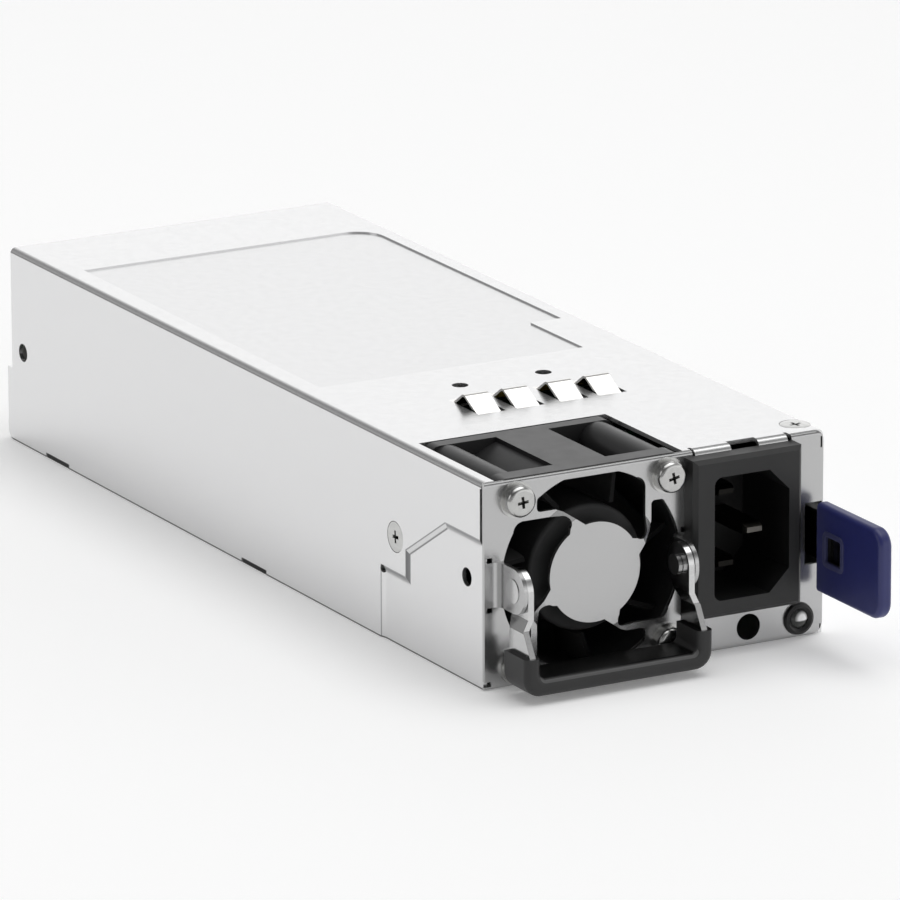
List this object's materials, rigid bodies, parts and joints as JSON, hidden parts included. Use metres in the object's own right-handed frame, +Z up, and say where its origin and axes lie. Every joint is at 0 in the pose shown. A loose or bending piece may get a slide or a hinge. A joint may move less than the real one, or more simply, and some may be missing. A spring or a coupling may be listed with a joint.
{
  "type": "hot swap server power supply",
  "caption": "Long flat steel power supply that slides into a server bay, with a fan behind a finger guard, a mains inlet, a swinging handle, a release latch and a card edge at the rear.",
  "frame": {"origin": "outer face of the front plate, in the middle of the case's width, level with the underside of the case", "axes": "+X to the right seen from the front, +Y to the rear where the card edge plugs in, +Z up"},
  "size_m": [0.0744, 0.228, 0.0422],
  "materials": {
    "zinc_steel": "galvanised sheet with a faint grain",
    "plate_steel": "galvanised sheet, satin",
    "spring_steel": "bright rolled strip",
    "bright_steel": "nickel plated",
    "black_plastic": "fine moulded texture",
    "fan_plastic": "glass filled, satin",
    "grip_plastic": "spark eroded texture",
    "tab_plastic": "moulded, satin",
    "clear_plastic": "frosted light pipe",
    "brass": "plated",
    "board_green": "solder mask",
    "gold": "hard gold plating",
    "film_yellow": "moulded box",
    "sleeve_black": "shrink sleeve",
    "aluminium": "extruded",
    "ferrite": "sintered, wound with enamelled copper",
    "magnet": "bonded strip",
    "fish_paper": "smooth",
    "glass_tube": "clear"
  },
  "bodies": {
    "case": {"case_cover": "zinc_steel", "base_chassis": "zinc_steel", "rear_vent_panel": "zinc_steel", "grounding_fingers": "spring_steel", "face_plate": "plate_steel", "fan_frame": "fan_plastic", "fan_bearings": "bright_steel", "fan_stator": "ferrite", "fan_washers": "bright_steel", "fan_screws": "bright_steel", "ac_inlet": "black_plastic", "inlet_pins": "brass", "lamp_bezel": "black_plastic", "lamp_lens": "clear_plastic", "handle_rivets": "bright_steel", "latch_foot": "spring_steel", "latch_rivets": "bright_steel", "main_board": "board_green", "card_edge_contacts": "gold", "board_standoffs": "brass", "board_screws": "bright_steel", "insulation_sheet": "fish_paper", "inlet_board": "board_green", "emi_choke": "ferrite", "pfc_choke": "ferrite", "x_capacitor": "film_yellow", "relay": "black_plastic", "input_fuse": "glass_tube", "bulk_capacitor": "sleeve_black", "transformer": "ferrite", "heat_sink": "aluminium", "power_transistors": "black_plastic", "output_capacitors": "aluminium", "control_board": "board_green", "fan_connector": "black_plastic", "cover_screws": "bright_steel"},
    "handle": {"handle_strap": "zinc_steel", "handle_grip": "grip_plastic"},
    "latch": {"latch_spring": "spring_steel", "latch_tab": "tab_plastic"},
    "fan_rotor": {"fan_impeller": "fan_plastic", "fan_shaft": "bright_steel", "rotor_magnet": "magnet"}
  },
  "joints": [
    {"name": "fan_spin", "type": "hinge", "parent": "case", "child": "fan_rotor", "pos_m": [-0.0139, 0.0148, 0.0201], "axis": [0, 1, 0], "continuous": true},
    {"name": "handle_swing", "type": "hinge", "parent": "case", "child": "handle", "pos_m": [-0.0148, -0.005, 0.0203], "axis": [-1, 0, 0], "range_deg": [0, 90]},
    {"name": "latch_press", "type": "hinge", "parent": "case", "child": "latch", "pos_m": [0.0355, 0.045, 0.0202], "axis": [0, 0, -1], "range_deg": [0, 2.1], "stiffness_Nm_per_rad": 8}
  ]
}
